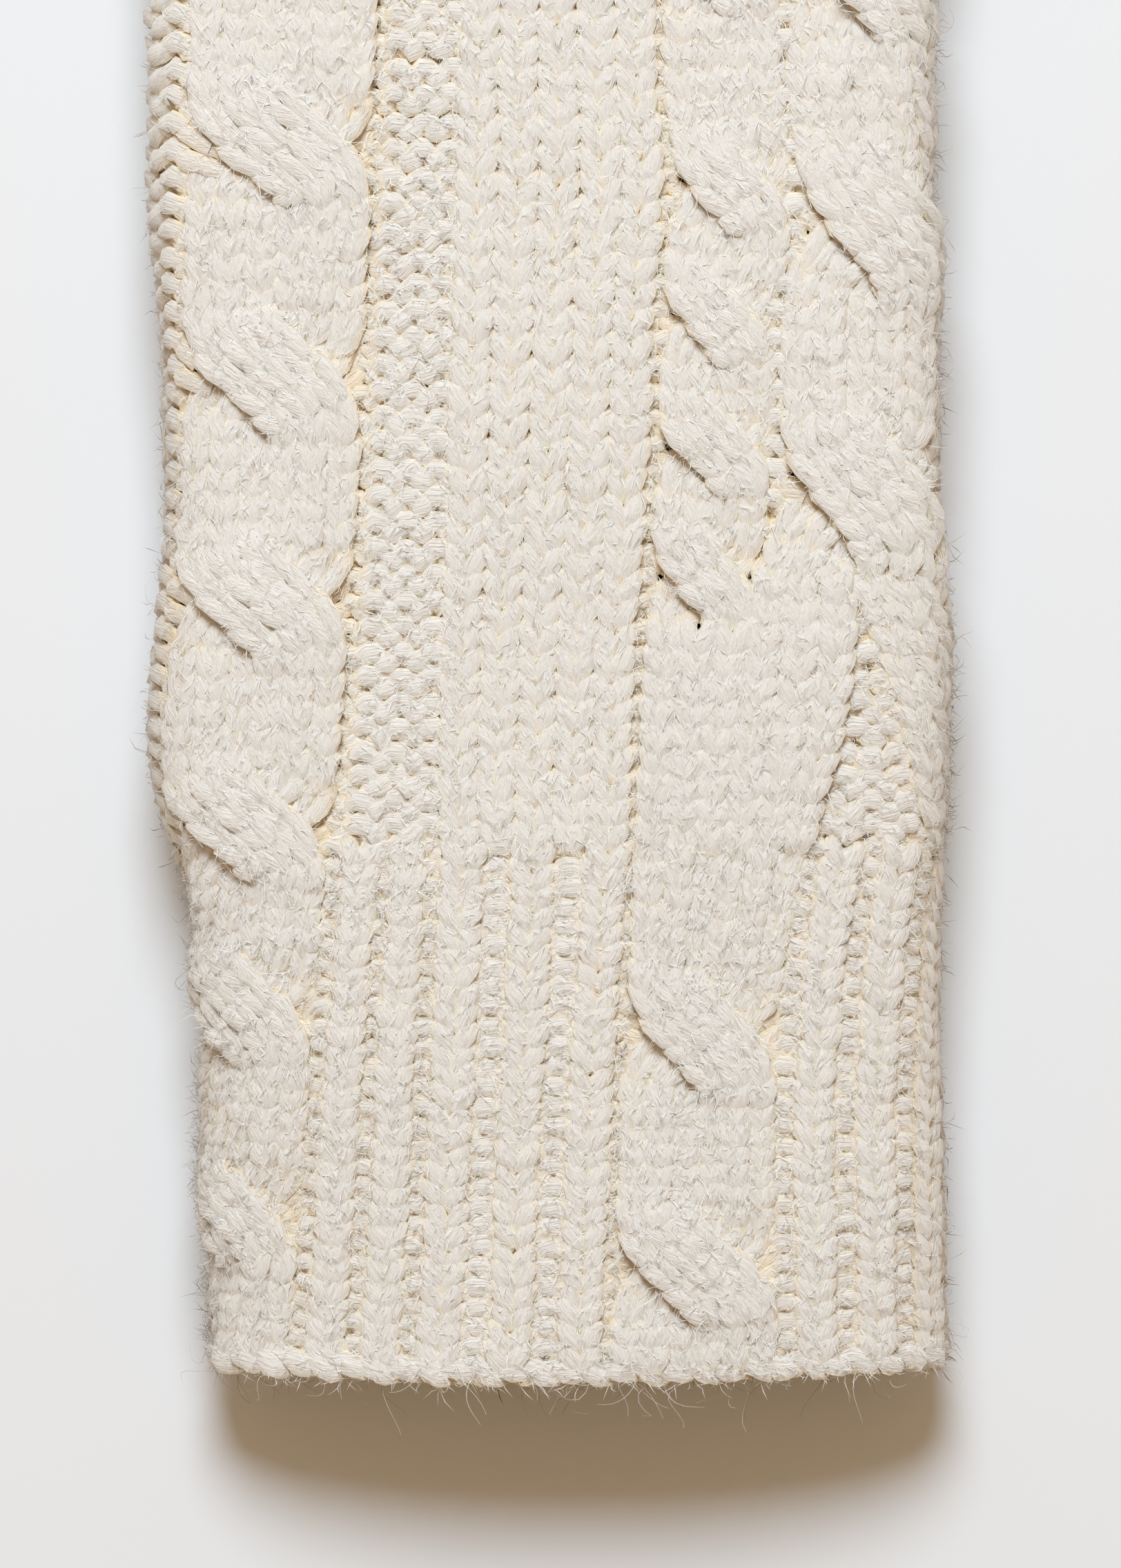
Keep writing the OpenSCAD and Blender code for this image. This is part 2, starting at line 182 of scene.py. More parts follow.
class Knit:
    """A tube's columns and rows of stitches, and the runs of yarn that they make."""

    def __init__(self, tube):
        self.tube, self.columns = tube, []

    def panel(self, panel, low, high, kinds, zone, lift_knit=0.0, lift_purl=-0.45, weights=None):
        """Columns side by side between two edges. kinds holds k for knit and p for purl."""
        weights = np.array(weights if weights else [1.0] * len(kinds))
        ends = np.concatenate([[0], np.cumsum(weights)]) / weights.sum()
        for i, kind in enumerate(kinds):
            a, b = low + (high - low) * ends[i], low + (high - low) * ends[i + 1]
            lift, knit = (lift_knit, 1) if kind == "k" else (lift_purl, -1)
            self.columns.append(Column(panel, (a + b) / 2, b - a, lift, knit=knit, zone=zone))

    def cable(self, panel, low, high, count, crossings, reach, zone, lift, rise, dip):
        """A rope cable of two strands that change places at each crossing. Going towards the
        fingers, the strand that moves to the left passes in front."""
        v = self.tube.v
        width = (high - low) / (2 * count)
        place, passing = -np.ones_like(v), np.zeros_like(v)
        for i, crossing in enumerate(crossings):
            sign = 1 if i % 2 == 0 else -1
            place += sign * 2 * smooth((v - crossing) / reach + 0.5)
            passing -= sign * np.clip(1 - ((v - crossing) / (reach * PASSING_REACH)) ** 2, 0, 1)
        for strand in (1, -1):
            path = (high + low) / 2 + strand * place * (high - low) / 4
            ahead = strand * passing
            for k in range(count):
                aside = k - (count - 1) / 2
                # The outer columns of a strand curve down at its sides
                edge = STRAND_ROUND * (2 * aside / max(count - 1, 1)) ** 2
                raised = lift + np.where(ahead > 0, rise, dip) * ahead - edge
                self.columns.append(Column(panel, path, width, raised, aside * width, zone=zone))

    def finish(self, rows):
        """Makes the tables that the loops are read from."""
        self.rows, self.gaps = rows, np.gradient(np.array(rows))
        for number, column in enumerate(self.columns):
            column.number = number
        self.tables = {name: np.array([getattr(c, name) for c in self.columns])
                       for name in ("path", "slope", "width", "offset", "lift")}

    def read(self, name, number, v):
        """Values of a column's table at v, between its samples."""
        place = np.clip((v - self.tube.v[0]) / GRID_STEP, 0, len(self.tube.v) - 1.001)
        low = np.asarray(place).astype(int)
        part = place - low
        table = self.tables[name][number]
        return table[low] * (1 - part) + table[low + 1] * part

    def loop(self, row, column, before, after, steps):
        """Centre line of one loop: s, v and h at even places along its yarn, its radius and depth."""
        v_row, gap, n = self.rows[row], self.gaps[row], column.number
        jitter = rng.normal(0, 1, 6)
        tau = (np.arange(steps) + 0.5) / steps * 2 * math.pi - math.pi
        width = float(self.read("width", n, v_row))
        splay, head = (KNIT_SPLAY, KNIT_HEAD) if column.knit > 0 else (PURL_SPLAY, PURL_HEAD)
        x = width * (tau / (2 * math.pi) + splay * np.sin(2 * tau)) + VARY_ACROSS * jitter[1]
        height = (head - SINKER) / 2 + (head + SINKER) / 2 * np.cos(tau)
        y = gap * (1 + VARY_HEIGHT * jitter[0]) * height + VARY_ALONG * jitter[2]
        lift = self.read("lift", n, v_row + y)
        mine = float(self.read("lift", n, v_row))
        # A loop passes to the other side of the fabric where its neighbour is of the other kind
        own = np.full(steps, float(column.knit))
        for neighbour, side in ((before, -1), (after, 1)):
            near = smooth((side * tau / math.pi - 0.5) / 0.5)
            own = own + near * (neighbour.knit - column.knit) / 2
            other = float(self.read("lift", neighbour.number, v_row))
            meet = min(other, mine) if abs(other - mine) > STEP_APART else (other + mine) / 2
            lift = lift + near * (meet - mine)
        z = -own * LOOP_DEPTH * (1 + VARY_DEPTH * jitter[3]) * np.cos(2 * tau)
        along = v_row + y
        angle = np.arctan(self.read("slope", n, along))
        across = self.read("offset", n, along) + x
        s = self.read("path", n, along) + across * np.cos(angle)
        v = along - across * np.sin(angle)
        plump = 1.0 if column.knit > 0 else PURL_PLUMP
        plump = plump - LEG_THINNER * np.cos(2 * tau) * column.knit + VARY_PLUMP * jitter[5]
        radius = YARN_R * plump * np.clip(width / FULL_WIDTH, THINNEST, 1.0)
        return s, v, lift + z + VARY_OUT * jitter[4], radius, z + lift * LIFT_SHARE

    def order(self, v):
        """The row's columns in the order in which its yarn meets them."""
        here = [c for c in self.columns if c.zone[0] <= v < c.zone[1]]
        at = self.tube.index(v)
        return sorted(here, key=lambda c: c.path[at] + c.offset[at] * math.cos(math.atan(c.slope[at])))

    def runs(self, piece_of, to_glove, dropped):
        """Runs of yarn for each node: points, radii, heights and normals, with ends that meet."""
        found = {}
        for r, v_row in enumerate(self.rows):
            order = self.order(v_row)
            loops = []
            for i, column in enumerate(order):
                node = piece_of(column, v_row)
                steps = PALM_STEPS if node in COARSE else BACK_STEPS
                after = order[(i + 1) % len(order)]
                s, v, h, radius, depth = self.loop(r, column, order[i - 1], after, steps)
                h = h + sum(a * np.sin(v / along + s / around + phase) for a, along, around, phase in WAVES)
                points, normals = self.tube.point(s, v, h)
                points, normals = to_glove(points), to_glove(normals, turn_only=True)
                if dropped(points.mean(axis=0)):
                    node = None
                loops.append((node, points, radius, depth, normals))
            count = len(loops)
            starts = [i for i in range(count) if loops[i][0] != loops[i - 1][0]]
            for place, start in enumerate(starts):
                if loops[start][0] is None:
                    continue
                end = starts[(place + 1) % len(starts)]
                size = (end - start) % count or count
                parts = [loops[(start + k) % count] for k in range(size)]
                first = (loops[start - 1][1][-1] + parts[0][1][0]) / 2
                last = (loops[end % count][1][0] + parts[-1][1][-1]) / 2
                run = [np.concatenate([p[k] for p in parts]) for k in (1, 2, 3, 4)]
                run = [np.concatenate([a[:1], a, a[-1:]]) for a in run]
                run[0][0], run[0][-1] = first, last
                found.setdefault(loops[start][0], []).append(run)
        return found


# ---------------------------------------------------------------- the hand and the cuff
LEFT_SIDE = [(0, -42.0), (42, -42.7), (58, -43.7), (66, -46.2), (75, -48.4), (92, -47.6), (108, -46.9),
             (125, -47.4), (140, -48.2), (166, -48.8), (210, -48.8), (255, -47.4), (280, -47.0)]
RIGHT_SIDE = [(0, 48.4), (20, 48.0), (42, 47.4), (67, 48.0), (90, 48.0), (107, 47.4), (137, 47.2),
              (152, 46.4), (166, 46.0), (188, 47.0), (235, 48.0), (255, 47.2), (280, 46.8)]
glove = Tube(-4, LENGTH + 4, LEFT_SIDE, RIGHT_SIDE, fold_z=10.2, top=9.5, bottom=6.9,
             top_power=[(0, 2.3), (40, 2.8), (60, 4.0), (90, 5.5)], bottom_power=5.0)

# Lines between the panels on the back, as plan x at some v
GUTTER = [(0, -32.2), (23, -30.2), (48, -28.4), (65, -27.0), (75, -26.0), (100, -24.2), (166, -21.2),
          (280, -20.6)]
LEFT_CABLE_WIDE = [(0, 18.6), (45, 18.6), (60, 19.0), (75, 20.4), (100, 20.8), (166, 21.6), (280, 21.6)]
CENTRE = [(0, -16.4), (9, -15.6), (65, -13.2), (71, -13.7), (166, -10.8), (195, -10.0), (280, -10.0)]
GROOVE = [(0, 6.4), (34, 7.6), (50, 8.8), (67, 9.8), (87, 10.4), (107, 11.9), (131, 12.9), (146, 14.2),
          (158, 12.8), (280, 12.8)]
GROOVE_HALF = 0.75
SIDE_GROOVE = [(64, 20.4), (77, 21.4), (89, 23.2), (98, 24.8), (112, 26.4), (128, 26.3), (143, 29.0),
               (158, 27.0), (280, 27.4)]
CUFF_CABLE_END = [(0, 26.6), (34, 26.2), (57, 28.1), (65, 30.4)]
RIGHT_CABLE = [(94, 24.8), (104, 26.2), (112, 27.8), (128, 27.7), (143, 30.2), (158, 28.2), (280, 28.6)]
RIGHT_CABLE_WIDE = 21.6
# Below its last crossing on the hand the right cable parts around a wedge of purl
WEDGE_LEFT = [(65, 30.4), (69, 32.1), (77, 34.1), (83, 35.6), (89, 36.4), (98, 35.3)]
WEDGE_RIGHT = [(65, 45.4), (69, 44.1), (77, 42.4), (83, 41.2), (89, 38.9), (98, 35.5)]
WEDGE_TOP = 98.0
# How many purl columns the wedge has, and the heights between which it has them
WEDGE_COLUMNS = ((3, WRIST_V, 75), (2, 75, 84), (1, 84, 91))
SIDE_STRAND_WIDE = 10.8
CUFF_SIDE_RIB_WIDE = 17.5
PALM_TURN = 0.30
FOLD_WIDE = 7.4
LEFT_CROSSINGS = [20, 45.5, 67.5, 94.5, 121.5, 149, 175, 201, 227]
RIGHT_CROSSINGS = [14, 42]
HAND_RIGHT_CROSSINGS = [107.5, 139, 170, 201, 232]
NARROW_CROSSINGS = [97.3, 112.4, 127.7, 143.5, 170, 185, 200, 215, 230, 245]
CUFF = (0, WRIST_V)
BODY = (WRIST_V, FINGER_RIB_V)
BOTH = (0, FINGER_RIB_V)
ABOVE_WEDGE = (WEDGE_TOP, FINGER_RIB_V)
BESIDE_WEDGE = (WRIST_V, WEDGE_TOP)
# Below the narrow cable's first crossing its stitches run plain into the cuff's cable, and swell a little
PLAIN_TOP = 91.0
BELOW_NARROW = (WRIST_V, PLAIN_TOP)
ABOVE_PLAIN = (PLAIN_TOP, FINGER_RIB_V)
SWELL = [(62, 0.3), (76, 0.95), (86, 0.9), (96, 0.4)]
RIB = dict(lift_knit=0.15, lift_purl=-0.45)
RIB_WEIGHTS = [0.8, 1.2, 0.8, 1.2, 0.8]

gutter_s = glove.on_back(GUTTER)
left_s = gutter_s - glove.eased(LEFT_CABLE_WIDE)
centre_s, groove_mid_s = glove.on_back(CENTRE), glove.on_back(GROOVE)
groove_s, narrow_s = groove_mid_s - GROOVE_HALF, groove_mid_s + GROOVE_HALF
side_groove_s, right_s = glove.on_back(SIDE_GROOVE), glove.on_back(RIGHT_CABLE)
right_end_s = right_s + RIGHT_CABLE_WIDE
cuff_end_s = glove.on_back(CUFF_CABLE_END)
wedge_left_s, wedge_right_s = glove.on_back(WEDGE_LEFT), glove.on_back(WEDGE_RIGHT)
side_strand_end_s = wedge_right_s + SIDE_STRAND_WIDE
palm_s = glove.around * PALM_TURN
fold_s = left_s - FOLD_WIDE
round_to_fold_s = fold_s + glove.around

hand = Knit(glove)
hand.panel("left_fold", fold_s, left_s, "kp", CUFF, weights=[1.2, 0.8], **RIB)
hand.panel("left_fold", fold_s, left_s, "pp", BODY, lift_purl=0.45)
hand.cable("left_cable", left_s, gutter_s, 3, LEFT_CROSSINGS, 13.0, BOTH, lift=0.4, rise=1.15, dip=0.8)
hand.panel("left_rib", gutter_s, centre_s, "pkpkp", CUFF, weights=RIB_WEIGHTS, **RIB)
hand.panel("left_gutter", gutter_s - 0.6, gutter_s + 1.6, "p", BODY, lift_purl=-1.4)
hand.panel("left_gutter", gutter_s + 1.6, centre_s + 0.6, "ppp", BODY, lift_purl=-0.35)
hand.panel("centre_rib", centre_s, groove_s, "kpkpk", CUFF, weights=[1.2, 0.8, 1.2, 0.8, 1.2], **RIB)
hand.panel("centre_rib", groove_s, narrow_s, "p", CUFF, lift_purl=-0.65)
hand.panel("centre", centre_s, groove_s, "kkkkk", BODY, lift_knit=0.1)
hand.panel("centre", groove_s, narrow_s, "p", BODY, lift_purl=-0.75)
hand.panel("narrow_cable", narrow_s, side_groove_s, "kkk", BELOW_NARROW, lift_knit=glove.eased(SWELL))
hand.cable("narrow_cable", narrow_s, side_groove_s, 2, NARROW_CROSSINGS, 10.0, ABOVE_PLAIN,
           lift=0.3, rise=1.0, dip=0.8)
hand.panel("narrow_cable", side_groove_s - 1.0, right_s + 1.0, "p", (104, FINGER_RIB_V),
           lift_purl=-0.5)
hand.cable("right_cable", narrow_s, cuff_end_s, 3, RIGHT_CROSSINGS, 13.0, CUFF,
           lift=0.4, rise=1.15, dip=0.8)
hand.cable("right_cable", right_s, right_end_s, 3, HAND_RIGHT_CROSSINGS, 17.0, ABOVE_WEDGE,
           lift=0.4, rise=1.2, dip=0.9)
hand.panel("right_cable", side_groove_s, wedge_left_s, "kkk", BESIDE_WEDGE,
           lift_knit=glove.eased(SWELL))
for purls, low, high in WEDGE_COLUMNS:
    hand.panel("right_gutter", wedge_left_s, wedge_right_s, "p" * purls, (low, high))
hand.panel("right_cable", wedge_right_s, side_strand_end_s, "kkk", BESIDE_WEDGE, lift_knit=0.2)
hand.panel("right_side", side_strand_end_s, palm_s, "pp", BESIDE_WEDGE)
hand.panel("right_side", right_end_s, palm_s, "ppp", ABOVE_WEDGE)
side_rib_end_s = cuff_end_s + CUFF_SIDE_RIB_WIDE
hand.panel("right_rib", cuff_end_s, side_rib_end_s, "pkpkp", CUFF, weights=RIB_WEIGHTS, **RIB)
hand.panel("palm_rib", side_rib_end_s, round_to_fold_s, "kp" * 14, CUFF,
           weights=[1.2, 0.8] * 14, **RIB)
hand.panel("palm", palm_s, round_to_fold_s, "k" * 19, BODY)
hand.panel("finger_rib", left_s, left_s + glove.around, "kp" * 29, (FINGER_RIB_V, LENGTH),
           weights=[1.2, 0.8] * 29, **RIB)


def row_places(start, end, height_keys):
    """v of each row of stitches. height_keys are (v, height of a row)."""
    keys = np.array(height_keys, float)
    rows, v = [], start
    while v < end:
        rows.append(v)
        v += float(np.interp(v, keys[:, 0], keys[:, 1]))
    return rows


hand.finish(row_places(FIRST_ROW_V, TOP_ROW_V,
                       [(0, 2.4), (62, 2.4), (68, 2.9), (100, 3.15), (150, 3.25), (250, 3.2), (260, 2.8)]))

NODE_OF_PANEL = {"left_gutter": "left_purl_gutter", "centre": "centre_panel",
                 "left_rib": "cuff_left_rib", "centre_rib": "cuff_centre_rib",
                 "right_rib": "cuff_right_rib", "narrow_cable": "narrow_rope_cable",
                 "right_gutter": "right_purl_gutter", "right_side": "thumb_side"}
COARSE = {"cuff_palm", "palm_panel", "finger_rib_palm", "little_finger_side",
          "cuff_little_finger_side", "thumb_side", "cuff_thumb_side", "thumb_palm", "thumb_rib_palm"}


# Where the palm's nodes end and the side nodes start, as a share of the way round
PALM_EDGE_TURN = 0.34


def hand_node(column, v):
    """The CAD node that a column's stitches at v stand for."""
    in_cuff = v < WRIST_V
    turn = glove.turn(column.path[glove.index(v)], v)
    if column.panel in ("left_cable", "right_cable"):
        return ("cuff_" + column.panel) if in_cuff else column.panel.replace("_", "_rope_")
    if column.panel == "finger_rib":
        return "finger_rib_back" if abs(turn) < 0.25 else "finger_rib_palm"
    if column.panel in ("palm", "palm_rib", "left_fold"):
        if abs(turn) > PALM_EDGE_TURN:
            return "cuff_palm" if in_cuff else "palm_panel"
        side = "thumb_side" if turn > 0 else "little_finger_side"
        return "cuff_" + side if in_cuff else side
    return NODE_OF_PANEL[column.panel]


# ---------------------------------------------------------------- the thumb
HEM_SAG = 1.9          # how far the hem is drawn back, this far from its middle
SAG_HALF_WIDTH = 48.0
HEM_SAG_LENGTH = 45.0
THUMB_ANGLE = math.radians(45)
THUMB_HALF = 16.0
THUMB_LENGTH = 40.0
THUMB_ROOT = (48.9, 48.0 + THUMB_HALF / math.sin(THUMB_ANGLE))
THUMB_RIB_V = 23.0
HOLE_HALF = 17.5
HOLE_LOW, HOLE_HIGH = 3.5, 15.5
HOLE_X = 42.0
ROOT_INSIDE_X = 44.5
thumb_tube = Tube(-22, THUMB_LENGTH + 4, [(-22, -THUMB_HALF), (23, -THUMB_HALF), (42, -THUMB_HALF + 0.6)],
                  [(-22, THUMB_HALF), (23, THUMB_HALF), (42, THUMB_HALF - 0.6)],
                  fold_z=8.6, top=7.2, bottom=6.2, top_power=[(0, 2.7)], bottom_power=3.6)
thumb = Knit(thumb_tube)
thumb_start_s = -thumb_tube.around / 2
thumb.panel("thumb", thumb_start_s, thumb_start_s + thumb_tube.around, "k" * 17, (-30, THUMB_RIB_V))
thumb.panel("thumb_rib", thumb_start_s, thumb_start_s + thumb_tube.around, "kp" * 11,
            (THUMB_RIB_V, THUMB_LENGTH + 4), weights=[1.2, 0.8] * 11, **RIB)
thumb.finish(row_places(-19.5, THUMB_LENGTH - 3.0, [(-20, 3.1), (20, 3.1), (24, 2.75), (40, 2.75)]))


def thumb_node(column, v):
    back = abs(thumb_tube.turn(column.path[thumb_tube.index(v)], v)) < 0.25
    return column.panel + ("_back" if back else "_palm")


def along_hand(points, turn_only=False):
    """To the glove's own frame. The hem draws back at its sides, so it sags in the middle."""
    if turn_only:
        return points
    back = HEM_SAG * (points[:, 0] / SAG_HALF_WIDTH) ** 2 * smooth(1 - points[:, 1] / HEM_SAG_LENGTH)
    return points - np.array([0, HALF_LENGTH, 0]) + back[:, None] * np.array([0, 1, 0])


def along_thumb(points, turn_only=False):
    """From the thumb's own frame, with +Y along it, to the glove's."""
    c, s = math.cos(THUMB_ANGLE), math.sin(THUMB_ANGLE)
    turned = points @ np.array([[c, -s, 0], [s, c, 0], [0, 0, 1]])
    return turned if turn_only else turned + np.array([THUMB_ROOT[0], THUMB_ROOT[1], 0])


def in_thumb_hole(p):
    return abs(p[1] - THUMB_ROOT[1]) < HOLE_HALF and p[0] > HOLE_X and HOLE_LOW < p[2] < HOLE_HIGH


def inside_hand(p):
    return p[0] < ROOT_INSIDE_X


runs = hand.runs(hand_node, along_hand, in_thumb_hole)
for node, found in thumb.runs(thumb_node, along_thumb, inside_hand).items():
    runs[node] = found


# ---------------------------------------------------------------- edges
EDGE_R = 1.25
EDGE_TWIST_R = 0.6
EDGE_STEP = 0.5
# The ridge around the thumb's root is an oval on the hand's side
RIDGE_HALF_LENGTH, RIDGE_HALF_HEIGHT = 22.0, 7.2
RIDGE_Z = 9.4
RIDGE_OUT = 0.9


def twisted_edge(path, period, scallop=0.0, scallop_period=6.6):
    """Two yarns twisted along a closed path. path(share) gives points, a sideways and an outward
    direction, and the path's length."""
    length = path(np.array([0.0]))[3]
    count = int(length / EDGE_STEP)
    share = np.arange(count + 1) / count
    turns = round(length / period)
    bumps = round(length / scallop_period)
    strands = []
    for strand in (0, math.pi):
        points, sideways, outward, _ = path(share)
        angle = share * turns * 2 * math.pi + strand
        wobble = rng.normal(0, 0.05, count + 1)
        wobble[-1] = wobble[0]
        side = EDGE_TWIST_R * np.cos(angle) + scallop * np.cos(share * bumps * 2 * math.pi) + wobble
        out = EDGE_TWIST_R * np.sin(angle)
        points = points + sideways * side[:, None] + outward * out[:, None]
        radii = EDGE_R * (1 + 0.17 * np.sin(angle))
        strands.append([points, radii, out * 0.5 + 0.4, outward])
    return strands


def round_tube(tube, v, to_glove):
    def path(share):
        around = tube.around[tube.index(v)]
        level = np.zeros(share.shape)
        points, normals = tube.point(share * around, level + v, level)
        sideways = to_glove(np.broadcast_to([0.0, 1.0, 0.0], points.shape), turn_only=True)
        return to_glove(points), sideways, to_glove(normals, turn_only=True), around
    return path


def round_thumb_hole(share):
    """The ridge of picked-up stitches, on the outside of the hand's side around the thumb."""
    angle = share * 2 * math.pi
    y = THUMB_ROOT[1] + RIDGE_HALF_LENGTH * np.cos(angle)
    z = RIDGE_Z + RIDGE_HALF_HEIGHT * np.sin(angle)
    row = glove.index(THUMB_ROOT[1] + HALF_LENGTH)
    side = glove.q > 0.05
    order = np.argsort(glove.z[row, side])
    x = np.interp(z, glove.z[row, side][order], glove.x[row, side][order]) + RIDGE_OUT
    points = np.stack([x, y, z], axis=-1)
    towards = np.stack([0 * angle, np.cos(angle), np.sin(angle)], axis=-1)
    outward = np.broadcast_to(np.array([1.0, 0.0, 0.0]), points.shape)
    around = 2 * math.pi * math.sqrt((RIDGE_HALF_LENGTH ** 2 + RIDGE_HALF_HEIGHT ** 2) / 2)
    return points, towards, outward, around


runs["cast_on_edge"] = twisted_edge(round_tube(glove, 1.7, along_hand), 6.4, scallop=0.3)
runs["cast_off_edge"] = twisted_edge(round_tube(glove, 277.9, along_hand), 7.4)
runs["thumb_cast_off_edge"] = twisted_edge(round_tube(thumb_tube, 37.9, along_thumb), 7.0)
runs["thumb_opening_edge"] = twisted_edge(round_thumb_hole, 7.0)

# ---------------------------------------------------------------- meshes
UNEVEN = 0.06          # share of the yarn's radius by which its outline is uneven
FIBRE_R = 0.045
FIBRE_POINTS = 5       # a short fibre has two ends and a ring of three points between them
STRAY_RINGS = 8
LOWEST_FIBRE = 0.05    # fibres stay this far above the ground


def sweep(run_list, sides):
    """Tubes swept along runs: vertices, faces, and what the material and the hairs need."""
    lengths = np.array([len(r[0]) for r in run_list])
    size, longest = len(run_list), int(lengths.max())

    def padded(k, width):
        table = np.zeros((size, longest) + width)
        for i, run in enumerate(run_list):
            table[i, :lengths[i]], table[i, lengths[i]:] = run[k], run[k][-1]
        return table

    centre, radius, height, normal = padded(0, (3,)), padded(1, ()), padded(2, ()), padded(3, (3,))
    tangent = np.zeros_like(centre)
    tangent[:, 1:-1] = centre[:, 2:] - centre[:, :-2]
    tangent[:, 0] = centre[:, 1] - centre[:, 0]
    for i, n in enumerate(lengths):
        tangent[i, n - 1:] = centre[i, n - 1] - centre[i, n - 2]
    tangent /= np.maximum(np.linalg.norm(tangent, axis=2, keepdims=True), 1e-9)
    # Each ring's side vector is carried from the ring before it, so the tube doesn't twist
    side = np.zeros_like(centre)
    start = np.cross(tangent[:, 0], [0.3, 0.2, 1.0])
    side[:, 0] = start / np.linalg.norm(start, axis=1, keepdims=True)
    for k in range(1, longest):
        before, ahead = side[:, k - 1], tangent[:, k]
        carried = before - ahead * np.sum(before * ahead, axis=1, keepdims=True)
        side[:, k] = carried / np.maximum(np.linalg.norm(carried, axis=1, keepdims=True), 1e-9)
    up = np.cross(tangent, side)
    turn = np.arange(sides) / sides * 2 * math.pi
    ring = (side[:, :, None, :] * np.cos(turn)[None, None, :, None]
            + up[:, :, None, :] * np.sin(turn)[None, None, :, None])
    steps = np.linalg.norm(np.diff(centre, axis=1), axis=2)
    along = np.concatenate([np.zeros((size, 1)), np.cumsum(steps, axis=1)], axis=1)
    along = along + rng.uniform(0, 400, size)[:, None]
    # Fluff makes the yarn's outline uneven
    uneven = 1 + UNEVEN * np.sin(along[:, :, None] * 2.1 + 3 * turn) + rng.normal(0, UNEVEN, ring.shape[:3])
    outness = np.sum(ring * normal[:, :, None, :], axis=-1)
    offset = ring * (radius[:, :, None] * uneven)[..., None]
    pressed = (1 - YARN_FLAT) * np.sum(offset * normal[:, :, None, :], axis=-1, keepdims=True)
    verts = centre[:, :, None, :] + offset - pressed * normal[:, :, None, :]
    # Light scatters in fluffy yarn, so each face of the fabric is shaded partly as if it were flat
    face = np.clip((outness + 0.55) / 0.3, -1, 1)[..., None]
    shaded = ring * (1 - SCATTER) + normal[:, :, None, :] * SCATTER * face
    keep = np.arange(longest)[None, :] < lengths[:, None]
    number = -np.ones((size, longest), int)
    number[keep] = np.arange(keep.sum())
    wind = turn[None, None, :] + along[:, :, None] * 0.3
    fibre = np.stack([np.broadcast_to(along[:, :, None], wind.shape), np.cos(wind), np.sin(wind)], axis=-1)
    # Highest on both faces of the fabric, and lowest between them; the wool's colour takes painted warm
    # shade where it is low
    depth = np.abs(height[:, :, None] + radius[:, :, None] * outness + 0.5) - 0.5
    linked = keep[:, 1:] & keep[:, :-1]
    a, b = number[:, :-1][linked] * sides, number[:, 1:][linked] * sides
    k = np.arange(sides)
    k2 = (k + 1) % sides
    quads = np.stack([a[:, None] + k, a[:, None] + k2, b[:, None] + k2, b[:, None] + k], axis=-1)
    firsts = number[:, 0] * sides
    lasts = number[np.arange(size), lengths - 1] * sides
    caps = np.concatenate([firsts[:, None] + k[::-1], lasts[:, None] + k])
    spread = np.broadcast_to(tangent[:, :, None, :], ring.shape)[keep].reshape(-1, 3)
    fabric = np.broadcast_to(normal[:, :, None, :], ring.shape)[keep].reshape(-1, 3)
    return dict(verts=verts[keep].reshape(-1, 3), fibre=fibre[keep].reshape(-1, 3),
                depth=depth[keep].reshape(-1), quads=quads.reshape(-1, 4), caps=caps,
                ring=ring[keep].reshape(-1, 3), shaded=shaded[keep].reshape(-1, 3),
                tangent=spread, fabric=fabric, outness=outness[keep].reshape(-1))


def fluff(yarn, count):
    """Loose fibres on the outer side of the yarn: thin bent spindles, each a closed mesh."""
    pool = np.flatnonzero((yarn["outness"] > 0.0) & (yarn["depth"] > 0.2))
    root = rng.choice(pool, count)
    start, out, along = yarn["verts"][root], yarn["ring"][root], yarn["tangent"][root]
    start = start + along * rng.uniform(-0.4, 0.4, (count, 1)) - out * 0.10
    along = along * rng.choice([-1.0, 1.0], (count, 1))
    aim = along + out * rng.uniform(-0.05, 0.55, (count, 1)) + rng.normal(0, 0.55, (count, 3))
    aim /= np.linalg.norm(aim, axis=1, keepdims=True)
    size = np.clip(rng.gamma(3.0, 0.45, (count, 1)) + 0.5, 0.6, 4.0)
    bend = rng.normal(0, 1, (count, 3)) - 0.4 * out
    middle = start + aim * size * 0.5 - bend * size * 0.07
    tip = start + aim * size + bend * size * 0.07
    across = np.cross(aim, [0.31, 0.17, 0.93])
    across /= np.maximum(np.linalg.norm(across, axis=1, keepdims=True), 1e-9)
    other = np.cross(aim, across)
    thick = FIBRE_R * rng.uniform(0.7, 1.3, (count, 1))
    corners = np.arange(3) * 2 * math.pi / 3
    ring = [middle + (across * math.cos(t) + other * math.sin(t)) * thick for t in corners]
    verts = np.stack([start] + ring + [tip], axis=1).reshape(-1, 3)
    verts[:, 2] = np.maximum(verts[:, 2], LOWEST_FIBRE)
    base = np.arange(count)[:, None] * FIBRE_POINTS
    faces = [base + np.array([[0, 1 + (i + 1) % 3, 1 + i]]) for i in range(3)]
    faces += [base + np.array([[4, 1 + i, 1 + (i + 1) % 3]]) for i in range(3)]
    shaded = np.repeat(yarn["fabric"][root] * 0.8 + out * 0.2, FIBRE_POINTS, axis=0)
    return verts, np.concatenate(faces), shaded


